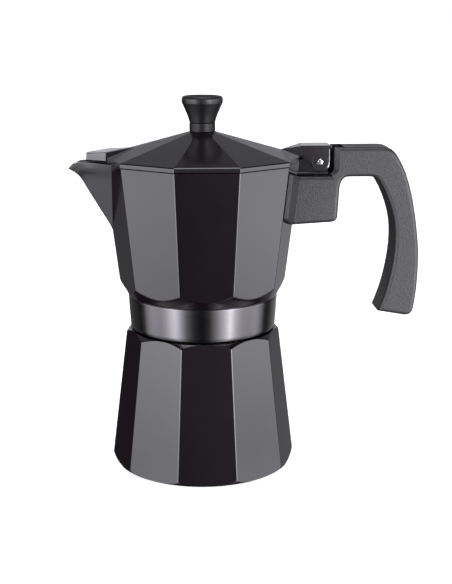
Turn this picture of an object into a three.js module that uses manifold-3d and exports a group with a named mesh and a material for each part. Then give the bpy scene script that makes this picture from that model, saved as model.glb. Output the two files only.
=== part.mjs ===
// Stovetop moka pot, ten-sided, built from its separate pieces.
// Millimetres, +Z up. The origin is the centre of the boiler's underside; the pot's axis is Z.
// The handle points along +X, the spout along -X, the safety valve faces +Y.
import * as THREE from 'three';
import { mergeVertices } from 'three/addons/utils/BufferGeometryUtils.js';
import Module from 'manifold-3d';

const wasm = await Module();
wasm.setup();

// ---------------------------------------------------------------- driving dimensions (mm)
const SIDES = 10;                 // flats round the boiler, the collector and the lid
const GAP = 0.3;                  // running gap between neighbouring pieces
const BASE_CIRCLE_R = 45.2;       // flat ring that the boiler stands on
const BASE_CORNER_R = 48.6;       // boiler corner radius just above the bottom edge
const SHOULDER_CORNER_R = 40.6;   // boiler corner radius at the shoulder
const SHOULDER_Z = 70.8;
const SHOULDER_TOP_Z = 73.6;
const NECK_ROOT_R = 33.9, NECK_CREST_R = 34.9, NECK_BORE_R = 30.4, NECK_TOP_Z = 86.2;
const THREAD_PITCH = 3.0;
const SKIRT_BOTTOM_Z = 74.0, SKIRT_BOTTOM_R = 38.2, SKIRT_TOP_Z = 92.2, SKIRT_TOP_R = 39.3;
const SKIRT_ROOT_R = 36.2, SKIRT_CREST_R = 35.35, SKIRT_BORE_R = 35.4, SKIRT_CEILING_Z = 92.0;
const COLLECTOR_FLOOR_Z = 95.6, COLLECTOR_RIM_Z = 161.8;
const COLLECTOR_R99 = 43.7, COLLECTOR_DRAFT = 0.1226;   // corner radius at z = 99 and its growth per mm
const COLLECTOR_WALL = 2.8;
const LID_CORNER_R = 51.8, LID_BOTTOM_Z = 162.1, LID_EDGE_Z = 164.5, LID_TOP_Z = 176.9, LID_FLAT_R = 6.8;
const LID_THICKNESS = 1.7;
const PIN_X = 60.5, PIN_Z = 161.5, PIN_R = 1.6;
const HINGE_HALF_WIDTH = 6.8, LUG_HALF_WIDTH = 4.6, KNUCKLE_R = 4.6;
const HANDLE_HALF_WIDTH = 10;
const VALVE_Z = 48;               // height of the safety valve's axis
const COLUMN_TOP_Z = 136;

// ---------------------------------------------------------------- helpers
const V2 = (x, y) => new THREE.Vector2(x, y);

function solid(geometry) {
  const g = geometry.index ? geometry.clone() : geometry.clone();
  for (const name of Object.keys(g.attributes)) if (name !== 'position') g.deleteAttribute(name);
  const m = mergeVertices(g, 1e-4);
  return new wasm.Manifold(new wasm.Mesh({
    numProp: 3,
    vertProperties: Float32Array.from(m.attributes.position.array),
    triVerts: Uint32Array.from(m.index.array),
  }));
}

function geometryOf(man) {
  const mesh = man.getMesh();
  const g = new THREE.BufferGeometry();
  g.setAttribute('position', new THREE.BufferAttribute(Float32Array.from(mesh.vertProperties), 3));
  g.setIndex(new THREE.BufferAttribute(Uint32Array.from(mesh.triVerts), 1));
  g.computeVertexNormals();
  return g;
}

// Profile of [radius, z] pairs turned about Z. It starts and ends on the axis, or closes on itself.
// With ten segments and a corner on +X it gives a ten-sided body whose corners follow the profile.
function turned(profile, segments = 40, start = Math.PI / 2) {
  const g = new THREE.LatheGeometry(profile.map(([r, z]) => V2(r, z)), segments, start);
  g.rotateX(Math.PI / 2);
  const m = solid(g);
  return m.volume() < 0 ? solid(flipped(g)) : m;
}

function flipped(g) {
  const c = g.clone();
  const idx = c.index.array;
  for (let i = 0; i < idx.length; i += 3) { const t = idx[i]; idx[i] = idx[i + 2]; idx[i + 2] = t; }
  return c;
}

const ring = (profile, segments) => turned([...profile, profile[0]], segments);

// Outline of [x, z] pairs in the XZ plane, given thickness along Y from y0 to y1.
function slab(outline, y0, y1, bevel = 0, bevelSegments = 2) {
  const s = new THREE.Shape(outline.map(([x, z]) => V2(x, z)));
  const g = new THREE.ExtrudeGeometry(s, bevel
    ? { depth: y1 - y0 - 2 * bevel, bevelEnabled: true, bevelThickness: bevel, bevelSize: bevel, bevelOffset: -bevel, bevelSegments, curveSegments: 12 }
    : { depth: y1 - y0, bevelEnabled: false });
  g.rotateX(Math.PI / 2);                       // (x, y, d) -> (x, -d, y)
  g.translate(0, bevel ? y1 - bevel : y1, 0);
  return solid(g);
}

// Rod along Y.
function rodY(r, y0, y1, x, z, segments = 24) {
  const g = new THREE.CylinderGeometry(r, r, y1 - y0, segments);
  g.translate(x, (y0 + y1) / 2, z);
  return solid(g);
}
function rodZ(r, z0, z1, x = 0, y = 0, segments = 24, r1 = r) {
  const g = new THREE.CylinderGeometry(r1, r, z1 - z0, segments);
  g.rotateX(Math.PI / 2);
  g.translate(x, y, (z0 + z1) / 2);
  return solid(g);
}
function box(x0, x1, y0, y1, z0, z1) {
  const g = new THREE.BoxGeometry(x1 - x0, y1 - y0, z1 - z0);
  g.translate((x0 + x1) / 2, (y0 + y1) / 2, (z0 + z1) / 2);
  return solid(g);
}

// Closed skin over a stack of convex rings, each ring a list of [x, y, z] with the same count,
// anticlockwise seen from above, listed from the bottom up.
function stacked(rings) {
  const n = rings[0].length, pos = [], idx = [];
  for (const r of rings) for (const p of r) pos.push(...p);
  for (let k = 0; k + 1 < rings.length; k++) for (let i = 0; i < n; i++) {
    const a = k * n + i, b = k * n + (i + 1) % n, c = a + n, d = b + n;
    idx.push(a, b, d, a, d, c);
  }
  const last = (rings.length - 1) * n;
  for (let i = 1; i + 1 < n; i++) idx.push(0, i + 1, i, last, last + i, last + i + 1);
  const g = new THREE.BufferGeometry();
  g.setAttribute('position', new THREE.Float32BufferAttribute(pos, 3));
  g.setIndex(idx);
  return solid(g);
}

// Thread ridge wound about Z: root and crest radii, from z0, a number of turns, right-handed.
function threadRidge(rootR, crestR, z0, turns, pitch, baseWidth, crestWidth, perTurn = 20) {
  const pos = [], idx = [], steps = Math.round(turns * perTurn);
  for (let i = 0; i <= steps; i++) {
    const a = (i / perTurn) * 2 * Math.PI, z = z0 + (i / perTurn) * pitch;
    const fade = Math.min(1, i / 6, (steps - i) / 6);              // the ridge runs out at both ends
    const rc = rootR + (crestR - rootR) * Math.max(0.08, fade);
    const out = [[rootR, -baseWidth / 2], [rc, -crestWidth / 2], [rc, crestWidth / 2], [rootR, baseWidth / 2]];
    const back = crestR > rootR ? -0.6 : 0.6;                        // buried part that joins the wall
    out[0][0] += back; out[3][0] += back;
    for (const [r, dz] of out) pos.push(r * Math.cos(a), r * Math.sin(a), z + dz);
  }
  for (let i = 0; i < steps; i++) for (let j = 0; j < 4; j++) {
    const a = i * 4 + j, b = i * 4 + (j + 1) % 4, c = a + 4, d = b + 4;
    idx.push(a, c, b, b, c, d);
  }
  idx.push(0, 1, 2, 0, 2, 3);
  const e = steps * 4;
  idx.push(e, e + 2, e + 1, e, e + 3, e + 2);
  const g = new THREE.BufferGeometry();
  g.setAttribute('position', new THREE.Float32BufferAttribute(pos, 3));
  g.setIndex(idx);
  let m = solid(g);
  if (m.volume() < 0) m = solid(flipped(g));
  return m;
}

// Flat disc with a pattern of round holes, between z0 and z1.
function drilledDisc(radius, z0, z1, rows, holeR, centreR = 0, segments = 40) {
  const s = new THREE.Shape();
  s.absarc(0, 0, radius, 0, Math.PI * 2, false);
  const hole = (x, y, r) => { const p = new THREE.Path(); p.absarc(x, y, r, 0, Math.PI * 2, true); return p; };
  const pts = (p, n) => p.getPoints(n);
  const outline = [];
  for (let i = 0; i < segments; i++) outline.push(V2(radius * Math.cos(2 * Math.PI * i / segments), radius * Math.sin(2 * Math.PI * i / segments)));
  const shape = new THREE.Shape(outline);
  const ringHole = (x, y, r, n) => {
    const l = [];
    for (let i = n - 1; i >= 0; i--) l.push(V2(x + r * Math.cos(2 * Math.PI * i / n), y + r * Math.sin(2 * Math.PI * i / n)));
    return new THREE.Path(l);
  };
  if (centreR) shape.holes.push(ringHole(0, 0, centreR, 16));
  for (const [r, n, off] of rows) for (let i = 0; i < n; i++) {
    const a = 2 * Math.PI * (i + off) / n;
    shape.holes.push(ringHole(r * Math.cos(a), r * Math.sin(a), holeR, 6));
  }
  const g = new THREE.ExtrudeGeometry(shape, { depth: z1 - z0, bevelEnabled: false });
  g.translate(0, 0, z0);
  return solid(g);
}

const group = new THREE.Group();
function piece(name, man, colour, roughness, metalness) {
  const mesh = new THREE.Mesh(geometryOf(man), new THREE.MeshStandardMaterial({ color: colour, roughness, metalness }));
  mesh.name = name;
  group.add(mesh);
  return mesh;
}
const BLACK_METAL = [0x2e2c2e, 0.38, 0.55];
const BARE_ALUMINIUM = [0xb9babb, 0.42, 1.0];
const BRASS = [0xb8903f, 0.32, 1.0];
const STEEL = [0xc3c5c8, 0.25, 1.0];
const BLACK_PLASTIC = [0x2b2b2d, 0.55, 0.0];
const SILICONE = [0xe8e6df, 0.6, 0.0];

const cornerR = z => COLLECTOR_R99 + COLLECTOR_DRAFT * (z - 99);
const flatR = z => cornerR(z) * Math.cos(Math.PI / SIDES);

// ---------------------------------------------------------------- boiler
{
  // Ten flats between the bottom edge and the shoulder, trimmed by a turned body that rounds the foot
  // and cones the shoulder, so each flat ends in an arc.
  const flats = turned([[0, -2], [49.65, -2], [BASE_CORNER_R, 6.5], [SHOULDER_CORNER_R, 71.5], [SHOULDER_CORNER_R - 0.4, 90], [0, 90]], SIDES);
  const turnedBody = turned([[0, 0], [BASE_CIRCLE_R, 0], [47.1, 0.8], [48.5, 2.3], [49.3, 4.6], [49.4, 8], [44.5, 66], [SHOULDER_CORNER_R + 0.5, SHOULDER_Z],
    [38.4, SHOULDER_TOP_Z], [NECK_ROOT_R, SHOULDER_TOP_Z], [NECK_ROOT_R, NECK_TOP_Z - 0.5], [NECK_ROOT_R - 0.5, NECK_TOP_Z], [0, NECK_TOP_Z]], 40);
  const hollow = turned([[0, 3.2], [39.8, 3.2], [42.2, 4.3], [43.0, 7.0], [35.9, 66.0], [34.6, 68.6], [31.6, 71.6], [NECK_BORE_R, 73.2], [NECK_BORE_R, 90], [0, 90]], 30);
  const boss = rodY(8.6, 36, 43.2, 0, VALVE_Z, 28);
  const bossTrim = turned([[0, 10], [60, 10], [60, 66], [0, 66]], 24).subtract(hollow);
  let b = flats.intersect(turnedBody).add(boss);
  b = b.subtract(hollow);
  b = b.add(threadRidge(NECK_ROOT_R, NECK_CREST_R, 77.4, 2.4, THREAD_PITCH, 2.0, 0.7));
  b = b.subtract(rodY(4.9, 30, 50, 0, VALVE_Z, 24));
  bossTrim.delete();
  piece('boiler_chamber', b, ...BLACK_METAL);
}

// ---------------------------------------------------------------- safety valve, axis along +Y
{
  const along = (profile, segments) => {      // profile of [radius, distance along +Y]
    const g = new THREE.LatheGeometry([...profile, profile[0]].map(([r, y]) => V2(r, y)), segments);
    let m = solid(g);
    if (m.volume() < 0) m = solid(flipped(g));
    return m.translate([0, 0, VALVE_Z]);
  };
  const hex = new THREE.CylinderGeometry(7.9, 7.9, 4.8, 6);
  hex.translate(0, 46.9, VALVE_Z);
  let body = along([[1.8, 36.0], [4.6, 36.0], [4.6, 44.5], [5.9, 44.5], [5.9, 55.2], [4.9, 55.2], [4.9, 53.4], [3.7, 53.4], [3.7, 39.6], [1.8, 39.6]], 20);
  const hexM = solid(hex).subtract(rodY(5.0, 40, 60, 0, VALVE_Z, 20));
  body = body.add(hexM);
  piece('valve_body', body, ...BRASS);
  piece('valve_washer', along([[4.95, 43.5], [7.6, 43.5], [7.6, 44.2], [4.95, 44.2]], 24), ...SILICONE);
  piece('valve_end_ring', along([[1.7, 53.7], [4.6, 53.7], [4.6, 55.6], [1.7, 55.6]], 20), ...BRASS);
  const pl = along([[0, 40.9], [3.3, 40.9], [3.3, 42.6], [1.9, 42.6], [1.9, 44.2], [1.3, 44.2], [1.3, 57.2], [0.9, 57.7], [0, 57.7]], 16);
  piece('valve_plunger', pl, ...BRASS);
  piece('valve_seal', along([[0, 39.9], [3.2, 39.9], [3.2, 40.6], [0, 40.6]], 16), ...SILICONE);
  // Compression spring, drawn at the length it has with the valve fully open.
  const turns = 5, R = 2.75, y0 = 44.7, y1 = 53.0;
  class Helix extends THREE.Curve {
    getPoint(t, v = new THREE.Vector3()) {
      const a = 2 * Math.PI * turns * t;
      return v.set(R * Math.cos(a), y0 + (y1 - y0) * t, VALVE_Z + R * Math.sin(a));
    }
  }
  const wire = new THREE.Shape();
  for (let i = 0; i < 6; i++) { const a = i * Math.PI / 3; i ? wire.lineTo(0.32 * Math.cos(a), 0.32 * Math.sin(a)) : wire.moveTo(0.32, 0); }
  const coil = new THREE.ExtrudeGeometry(wire, { steps: 44, extrudePath: new Helix(), bevelEnabled: false });
  let cm = solid(coil);
  if (cm.volume() < 0) cm = solid(flipped(mergeVertices((() => { const q = coil.clone(); q.deleteAttribute('normal'); q.deleteAttribute('uv'); return q; })(), 1e-4)));
  piece('valve_spring', cm, ...STEEL);
}

// ---------------------------------------------------------------- funnel (coffee basket)
{
  const bowl = ring([[5.1, 57.0], [6.0, 57.0], [6.0, 60.9], [28.6, 61.6], [29.4, 62.6], [29.7, 86.0], [30.0, 86.5], [33.3, 86.5], [33.3, 87.5],
    [28.9, 87.5], [28.6, 64.3], [28.0, 64.3], [28.0, 62.6], [5.1, 61.9]], 36);
  piece('funnel_bowl', bowl, ...BARE_ALUMINIUM);
  piece('funnel_stem', ring([[3.8, 8.0], [4.7, 8.0], [4.7, 62.3], [6.3, 62.3], [6.3, 63.1], [3.8, 63.1]], 20), ...BARE_ALUMINIUM);
  piece('funnel_screen', drilledDisc(28.2, 64.6, 65.4, [[6.5, 6, 0], [13, 12, 0.5], [20, 16, 0]], 1.0), ...BARE_ALUMINIUM);
}

// ---------------------------------------------------------------- gasket and filter plate
piece('gasket', ring([[27.4, 87.9], [34.6, 87.9], [34.9, 88.2], [34.9, 90.1], [34.6, 90.4], [27.4, 90.4], [27.0, 90.0], [27.0, 88.3]], 32), ...SILICONE);
piece('filter_plate', drilledDisc(33.8, 90.7, 91.6, [[6.5, 6, 0], [13, 12, 0.5], [20, 16, 0]], 1.0), ...BARE_ALUMINIUM);

// ---------------------------------------------------------------- collector
const keel = [[-44.0, 121.0], [-47.1, 126.3], [-49.9, 131.1], [-53.0, 136.4], [-56.1, 141.7], [-59.2, 146.9], [-60.7, 149.5], [-62.2, 152.2], [-63.1, 153.6],
  [-64.6, 155.2], [-66.4, 156.6], [-68.2, 157.5], [-69.6, 158.2]];
const spoutHalf = z => Math.max(0.25, 15.1 * (z - 125.4) / 36.6);
{
  const flats = turned([[0, 80], [cornerR(80), 80], [cornerR(COLLECTOR_RIM_Z - 0.5), COLLECTOR_RIM_Z - 0.5], [cornerR(COLLECTOR_RIM_Z) - 0.5, COLLECTOR_RIM_Z], [0, COLLECTOR_RIM_Z]], SIDES);
  const cup = turned([[0, SKIRT_TOP_Z], [SKIRT_TOP_R + 0.1, SKIRT_TOP_Z], [40.2, 94.2], [41.3, 96.1], [43.85, 99.4], [45.9, 104], [70, 170], [0, 170]], 40);
  const skirt = turned([[0, SKIRT_BOTTOM_Z], [SKIRT_BOTTOM_R - 1.4, SKIRT_BOTTOM_Z], [SKIRT_BOTTOM_R - 0.4, SKIRT_BOTTOM_Z + 0.7], [SKIRT_BOTTOM_R + 0.1, SKIRT_BOTTOM_Z + 2.0], [SKIRT_TOP_R, SKIRT_TOP_Z - 0.1], [SKIRT_TOP_R, 94], [0, 94]], 40);
  // Spout: three-cornered in plan, its keel leaving the body low down and running out to the lip.
  const outer = keel.map(([x, z]) => {
    const w = spoutHalf(z), xb = -(flatR(z) - 0.309 * w) / 0.951;
    const xk = Math.min(x, xb - 0.3), wk = Math.min(0.35, w * 0.8);
    return [[-40, -w, z], [-40, w, z], [xb, w, z], [xk, wk, z], [xk, -wk, z], [xb, -w, z]];
  });
  const last = outer[outer.length - 1].map(([x, y]) => [x, y, 166]);
  last.forEach(p => { p[1] = Math.abs(p[1]) > 1 ? Math.sign(p[1]) * spoutHalf(163) : p[1]; if (p[0] > -60 && p[0] < -41) p[0] = -(flatR(161.8) - 0.309 * spoutHalf(163)) / 0.951; });
  const spout = stacked([...outer, last]);
  const above = slab([[-90, 157.2], [-70.2, 157.2], [-69.0, 158.3], [-66.9, 160.4], [-65.9, 161.2], [-63.9, 161.9], [-61.0, 162.25], [-52.8, 162.25], [-52.5, 161.75], [-30, 161.75], [-30, 175], [-90, 175]].reverse(), -30, 30);
  const inner = [];
  for (const [x, z] of keel) {
    const w = spoutHalf(z) - 2.5;
    if (w < 0.5) continue;
    const xi = Math.min(x + 3.1, -50 + (z > 140 ? 0 : 3));
    const xb = -(flatR(z) - 0.309 * w) / 0.951;
    inner.push([[-36, -w, z], [-36, w, z], [xb + 0.2, w, z], [z > 156 ? x + 2.4 : x + 3.1, 0.3, z], [z > 156 ? x + 2.4 : x + 3.1, -0.3, z], [xb + 0.2, -w, z]]);
  }
  const topInner = inner[inner.length - 1].map(([x, y]) => [x, y, 166]);
  const channel = stacked([...inner, topInner]);
  // Hinge lug on the rear corner, with a tongue below it that carries the handle.
  const lugLow = box(44, 64.7, -HINGE_HALF_WIDTH, HINGE_HALF_WIDTH, 155.0, 156.2);
  const tongueUp = slab([[44, 155.2], [64.7, 155.2], [64.7, PIN_Z], [PIN_X + 3.9, PIN_Z + 2.4], [PIN_X + 2.3, PIN_Z + 4.0], [PIN_X, PIN_Z + KNUCKLE_R], [52.4, PIN_Z + 3.2], [52.4, 161.75], [44, 161.75]], -LUG_HALF_WIDTH, LUG_HALF_WIDTH);
  const tongueDown = slab([[42, 138], [58.5, 141], [58.5, 155.4], [44, 155.4]], -3.0, 3.0);
  let c = flats.intersect(cup).add(skirt).add(spout);
  c = c.add(lugLow).add(tongueUp).add(tongueDown);
  c = c.subtract(above);
  const hollow = turned([[0, COLLECTOR_FLOOR_Z], [35.0, COLLECTOR_FLOOR_Z], [38.2, 97.0], [40.2, 99.6], [cornerR(COLLECTOR_RIM_Z) - COLLECTOR_WALL, COLLECTOR_RIM_Z + 0.05], [cornerR(COLLECTOR_RIM_Z) - COLLECTOR_WALL, 170], [0, 170]], SIDES);
  const columnBoss = turned([[0, 94], [9.6, 94], [9.6, 97.2], [8.6, 100.4], [0, 100.4]], 24);
  c = c.subtract(hollow).add(columnBoss);
  c = c.subtract(channel);
  // Threaded bore of the skirt, with the seat for the gasket and the filter plate at its top.
  c = c.subtract(turned([[0, 73], [SKIRT_ROOT_R + 0.3, 73], [SKIRT_ROOT_R, 74.8], [SKIRT_ROOT_R, 86.6], [SKIRT_BORE_R, 87.0], [SKIRT_BORE_R, SKIRT_CEILING_Z], [26.5, SKIRT_CEILING_Z], [22, 93.3], [0, 93.3]], 40));
  c = c.subtract(rodZ(6.3, 92, 101, 0, 0, 20));
  c = c.add(threadRidge(SKIRT_ROOT_R, SKIRT_CREST_R, 76.6, 2.9, THREAD_PITCH, 2.0, 0.7));
  c = c.subtract(rodY(PIN_R + GAP, -12, 12, PIN_X, PIN_Z, 20));
  c = c.subtract(rodZ(2.3, 136, 152, 54.0, 0, 16));
  piece('collector_chamber', c, ...BLACK_METAL);
}
piece('riser_column', ring([[3.4, 93.6], [6.0, 93.6], [6.0, 100.7], [7.4, 100.7], [7.4, 101.6], [6.6, 102.4], [5.3, COLUMN_TOP_Z - 6], [5.3, COLUMN_TOP_Z], [3.4, COLUMN_TOP_Z]], 24), ...BARE_ALUMINIUM);
{
  // Cap on the column: closed on top, with four windows round its side where the coffee comes out.
  let cap = ring([[5.6, 131.0], [7.0, 131.0], [7.0, 140.6], [6.2, 141.8], [0.0001, 142.4], [0.0001, 140.8], [5.6, 140.4]].map(([r, z]) => [r < 0.001 ? 0 : r, z]), 24);
  cap = cap.subtract(box(-10, 10, -1.8, 1.8, 136.6, 139.4)).subtract(box(-1.8, 1.8, -10, 10, 136.6, 139.4));
  piece('column_cap', cap, ...STEEL);
}

// ---------------------------------------------------------------- handle
const handleOutline = [
  [44.0, 129.0], [66.0, 130.3], [68.2, 130.8], [69.4, 132.2], [69.8, 134.5], [70.4, 146.0], [70.8, 149.6], [71.7, 152.0], [73.0, 153.3], [75.0, 153.9],
  [86.5, 153.9], [88.8, 153.3], [90.5, 152.0], [92.0, 149.8], [93.9, 146.4], [95.9, 142.0], [97.7, 137.1], [99.2, 131.6], [100.1, 125.0], [100.2, 118.0], [99.7, 111.5],
  [98.8, 105.0], [97.5, 98.5], [95.9, 92.3], [94.1, 87.0], [92.4, 82.3], [106.8, 79.8], [108.9, 80.0], [110.6, 81.2], [111.5, 83.6], [112.3, 89.0], [112.9, 95.0], [113.2, 102.0],
  [113.3, 109.0], [113.0, 116.0], [112.3, 122.5], [111.4, 129.0], [110.3, 135.6], [109.0, 142.0], [107.4, 148.2], [105.4, 154.4], [103.9, 158.1], [102.2, 161.3], [100.9, 163.6], [99.4, 165.8], [97.4, 167.7], [95.0, 168.8], [92.0, 169.1],
  [65.4, 169.1], [65.4, 154.3], [44.0, 154.3]];
{
  let h = slab(handleOutline, -HANDLE_HALF_WIDTH, HANDLE_HALF_WIDTH, 2.2, 2);
  // Saddle flanges that lie on the two flats beside the rear corner.
  for (const s of [-1, 1]) {
    const a0 = s * Math.PI / 5, nrm = [Math.cos(s * Math.PI / 10), Math.sin(s * Math.PI / 10)];
    const at = (f, z, off) => {               // f = 0 at the far corner, 1 at the block's side
      const r = cornerR(z), xa = r * Math.cos(a0), ya = r * Math.sin(a0);
      const yb = s * 8.5, xb = (flatR(z) - Math.abs(nrm[1]) * 8.5) / nrm[0];
      return [xa + (xb - xa) * f + nrm[0] * off, ya + (yb - ya) * f + nrm[1] * off, z];
    };
    const lo = [[0.03, 135.5], [1.0, 129.2]], hi = [[0.03, 158.3], [1.0, 154.2]];
    const quad = (off) => [at(...lo[0], off), at(...lo[1], off), at(...hi[1], off), at(...hi[0], off)];
    const p = [...quad(-0.8), ...quad(2.3)];
    const pos = p.flat(), idx = [0, 2, 1, 0, 3, 2, 4, 5, 6, 4, 6, 7, 0, 1, 5, 0, 5, 4, 1, 2, 6, 1, 6, 5, 2, 3, 7, 2, 7, 6, 3, 0, 4, 3, 4, 7];
    const g = new THREE.BufferGeometry();
    g.setAttribute('position', new THREE.Float32BufferAttribute(pos, 3));
    g.setIndex(idx);
    let f = solid(g);
    if (f.volume() < 0) f = solid(flipped(g));
    h = h.add(f);
  }
  // Clear of the collector's wall.
  const wall = turned([[0, 100], [cornerR(100) + 0.35, 100], [cornerR(172) + 0.35, 172], [0, 172]], SIDES);
  h = h.subtract(wall);
  // Open round the hinge, with a sloping hollow worked into both sides behind it.
  h = h.subtract(slab([[40, 155.2], [65.0, 155.2], [66.6, 156.0], [67.4, 157.6], [67.5, 160], [67.5, 172], [40, 172]], -12, 12));
  for (const s of [-1, 1]) {
    const outer = [[40, 154.6], [66.6, 154.6], [69.2, 155.6], [70.7, 158.0], [71.0, 161], [71.0, 172], [40, 172]];
    const inner = [[40, 155.6], [64.6, 155.6], [66.4, 156.3], [67.3, 158.2], [67.4, 161], [67.4, 172], [40, 172]];
    const at = (l, y) => l.map(([x, z]) => [x, -z, y]);
    let cut = stacked([at(inner, 7.9), at(outer, 10.6)].map(r => r.slice().reverse()));
    cut = cut.rotate([90, 0, 0]);                        // (x, -z, y) -> (x, -y, -z)
    cut = cut.scale([1, 1, -1]);
    if (s > 0) cut = cut.mirror([0, 1, 0]);
    h = h.subtract(cut);
  }
  // Pocket that the lid's hinge tab swings into.
  h = h.subtract(slab([[60, 152.8], [69.0, 152.8], [71.8, 155.6], [73.6, 160.0], [73.9, 164.0], [73.3, 167.4], [72.0, 172], [60, 172]], -7.3, 7.3));
  // Slot for the collector's tongue, open towards the wall.
  h = h.subtract(slab([[30, 136.0], [58.9, 139.4], [58.9, 160], [30, 160]], -3.35, 3.35));
  // Screw hole from below, with its counterbore.
  h = h.subtract(rodZ(2.4, 120, 145, 54.0, 0, 16)).subtract(rodZ(4.2, 120, 132.6, 54.0, 0, 20));
  piece('handle', h, ...BLACK_PLASTIC);
}
{
  const head = rodZ(3.7, 130.2, 132.3, 54.0, 0, 20).subtract(solid(new THREE.CylinderGeometry(1.8, 1.8, 1.3, 6).rotateX(Math.PI / 2).translate(54.0, 0, 130.6)));
  piece('handle_screw', head.add(rodZ(2.0, 132.0, 151.4, 54.0, 0, 16)), ...STEEL);
}
piece('hinge_pin', (() => {
  const g = new THREE.LatheGeometry([[0, -7.5], [1.15, -7.5], [PIN_R, -7.1], [PIN_R, 7.1], [1.15, 7.5], [0, 7.5]].map(([r, y]) => V2(r, y)), 20);
  let m = solid(g);
  if (m.volume() < 0) m = solid(flipped(g));
  return m.translate([PIN_X, 0, PIN_Z]);
})(), ...STEEL);

// ---------------------------------------------------------------- lid
{
  const shell = turned([[0, LID_BOTTOM_Z], [LID_CORNER_R, LID_BOTTOM_Z], [LID_CORNER_R, LID_EDGE_Z - 0.4], [LID_CORNER_R - 0.5, LID_EDGE_Z], [LID_FLAT_R, LID_TOP_Z], [0, LID_TOP_Z]], SIDES);
  const under = turned([[0, 150], [49.2, 150], [49.2, LID_EDGE_Z - LID_THICKNESS], [LID_FLAT_R, LID_TOP_Z - LID_THICKNESS - 0.4], [0, LID_TOP_Z - LID_THICKNESS - 0.4]], SIDES);
  // Beak: raised kite-shaped plate that covers the spout.
  const kite = (z, dx = 0) => [[-35.0, 0], [-49.4, 8.8], [-59.6, 3.0], [-59.6, -3.0], [-49.4, -8.8]];
  const topZ = x => 169.12 + (x + 35.0) * 2.85 / 24.6;
  const beak = stacked([kite().map(([x, y]) => [x, y, 162.75]), kite().map(([x, y]) => [x, y, topZ(x)])]);
  const beakHollow = stacked([[[-30, 0], [-47.5, 7.0], [-58.0, 1.6], [-58.0, -1.6], [-47.5, -7.0]].map(([x, y]) => [x, y, 160]), [[-30, 0], [-47.5, 7.0], [-58.0, 1.6], [-58.0, -1.6], [-47.5, -7.0]].map(([x, y]) => [x, y, topZ(x) - 1.7])]);
  // Hinge tab: wedge rising from the rear ridge to a flat top with two cheeks round the pin.
  const wedge = stacked([[[41.0, 0], [51.6, -HINGE_HALF_WIDTH], [51.6, HINGE_HALF_WIDTH]].map(([x, y]) => [x, y, x < 45 ? 165.6 : 163.4]),
    [[41.0, 0], [51.6, -HINGE_HALF_WIDTH], [51.6, HINGE_HALF_WIDTH]].map(([x, y]) => [x, y, x < 45 ? 167.6 : 170.0])]);
  const wedgeBlock = slab([[47.5, 163.8], [52.2, 163.8], [52.2, 170.0], [51.0, 170.0], [47.5, 168.9]], -4.2, 4.2);
  const plate = slab([[51.4, 168.0], [65.4, 168.0], [66.4, 168.6], [66.4, 169.4], [65.8, 170.0], [51.4, 170.0]], -HINGE_HALF_WIDTH, HINGE_HALF_WIDTH);
  const cheekOutline = [[51.4, 162.9], [56.0, 160.6], [56.5, 159.2], [57.6, 157.9], [59.0, 157.1], [PIN_X, 156.9], [62.1, 157.2], [63.6, 158.1], [64.7, 159.6], [65.1, 161.5], [65.1, 168.4], [51.4, 168.4]];
  let l = shell.subtract(under).add(beak).subtract(beakHollow.subtract(turned([[0, 100], [20, 100], [20, 190], [0, 190]], 12)));
  l = l.add(wedge).add(plate);
  for (const s of [-1, 1]) l = l.add(slab(cheekOutline, s < 0 ? -HINGE_HALF_WIDTH : 4.9, s < 0 ? -4.9 : HINGE_HALF_WIDTH));
  // Room for the collector's lug between the cheeks.
  l = l.subtract(slab([[46.0, 150], [46.0, 162.0], [51.6, 162.0], [51.6, PIN_Z + 5.0], [53, 167.4], [68, 167.4], [68, 150]], -4.9, 4.9));
  l = l.subtract(rodY(PIN_R + GAP, -12, 12, PIN_X, PIN_Z, 20));
  // Notch in the tip of the beak, and the hole for the knob's screw.
  l = l.subtract(box(-61, -55.0, -1.0, 1.0, 164.9, 168));
  l = l.subtract(rodZ(2.4, 165, 185, 0, 0, 16));
  piece('lid', l, ...BLACK_METAL);
}
piece('knob_collar', ring([[2.4, 177.2], [6.65, 177.2], [6.65, 181.2], [2.4, 181.2]], 32), ...BLACK_PLASTIC);
piece('lid_knob', (() => {
  const k = turned([[0, 181.5], [6.6, 181.5], [6.65, 182.0], [8.2, 186.2], [9.9, 190.2], [10.5, 191.3], [10.65, 192.8], [10.5, 194.1], [9.9, 194.8], [8.9, 194.9], [8.2, 194.3], [4.5, 193.6], [0, 193.3]], 36);
  return k.subtract(rodZ(2.35, 180, 188.4, 0, 0, 16));
})(), ...BLACK_PLASTIC);
piece('knob_washer', ring([[2.4, 173.6], [5.6, 173.6], [5.6, 174.5], [2.4, 174.5]], 24), ...STEEL);
{
  const head = rodZ(3.8, 171.2, 173.3, 0, 0, 20).subtract(box(-4.5, 4.5, -0.5, 0.5, 170.8, 172.1));
  piece('knob_screw', head.add(rodZ(2.0, 173.0, 187.8, 0, 0, 16)), ...STEEL);
}

export default group;
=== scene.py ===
# Stovetop moka pot: the visual model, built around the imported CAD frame. Metres; lengths below are written in mm.
import math

import bpy
import bmesh
import numpy as np
from mathutils import Matrix, Vector


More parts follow.
